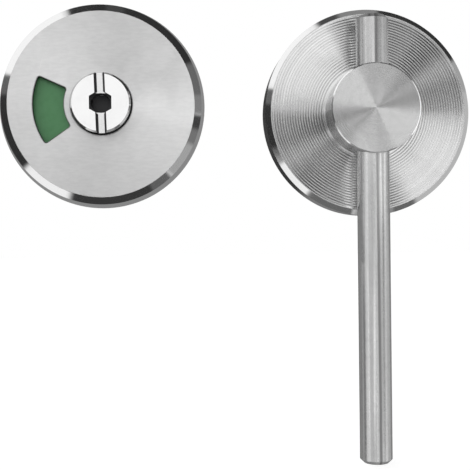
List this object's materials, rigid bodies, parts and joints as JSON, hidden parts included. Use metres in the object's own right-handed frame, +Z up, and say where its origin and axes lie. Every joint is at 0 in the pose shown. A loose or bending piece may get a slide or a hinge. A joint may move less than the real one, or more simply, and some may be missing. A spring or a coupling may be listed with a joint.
{
  "type": "bathroom thumb turn lock",
  "caption": "Round-rose bathroom turn with a long bar lever, with its outside half that shows free or engaged and has an emergency release.",
  "frame": {"origin": "on the axis of the turn, at the face of the door that its rose bears on", "axes": "+Y into the door along the spindle, +Z up, +X to the right as the user sees it"},
  "size_m": [0.119, 0.0771, 0.1157],
  "materials": {
    "grooved_steel": "turned with concentric grooves",
    "satin_steel": "satin, spun",
    "drawn_steel": "brushed along its length",
    "polished_steel": "polished",
    "cast_plate": "die cast, plain",
    "plated_steel": "zinc plated",
    "spring_steel": "oiled spring steel",
    "dark_screw_steel": "blackened",
    "bush_plastic": "moulded, natural",
    "disc_plastic": "moulded",
    "green_film": "smooth film",
    "red_film": "smooth film"
  },
  "bodies": {
    "roses": {"turn_rose_cover": "grooved_steel", "turn_base_plate": "cast_plate", "turn_bush": "bush_plastic", "turn_spring_washer": "spring_steel", "release_rose_cover": "satin_steel", "release_base_plate": "cast_plate", "release_bush": "bush_plastic", "release_spring_washer": "spring_steel", "fixing_posts": "plated_steel"},
    "turn": {"turn_hub": "satin_steel", "turn_lever": "drawn_steel", "lever_screw": "dark_screw_steel", "spindle": "plated_steel", "spindle_pin": "plated_steel", "turn_circlip": "spring_steel"},
    "release": {"release_boss": "polished_steel", "indicator_disc": "disc_plastic", "green_field": "green_film", "red_field": "red_film", "release_circlip": "spring_steel"}
  },
  "joints": [
    {"name": "turn_hinge", "type": "hinge", "parent": "roses", "child": "turn", "pos_m": [0, 0, 0], "axis": [0, -1, 0], "range_deg": [0, 90]},
    {"name": "release_hinge", "type": "hinge", "parent": "roses", "child": "release", "pos_m": [-0.067, 0, 0.0027], "axis": [0, 1, 0], "range_deg": [0, 90]}
  ],
  "couplings": [
    {"joint": "release_hinge", "follows": "turn_hinge", "ratio": 1}
  ]
}
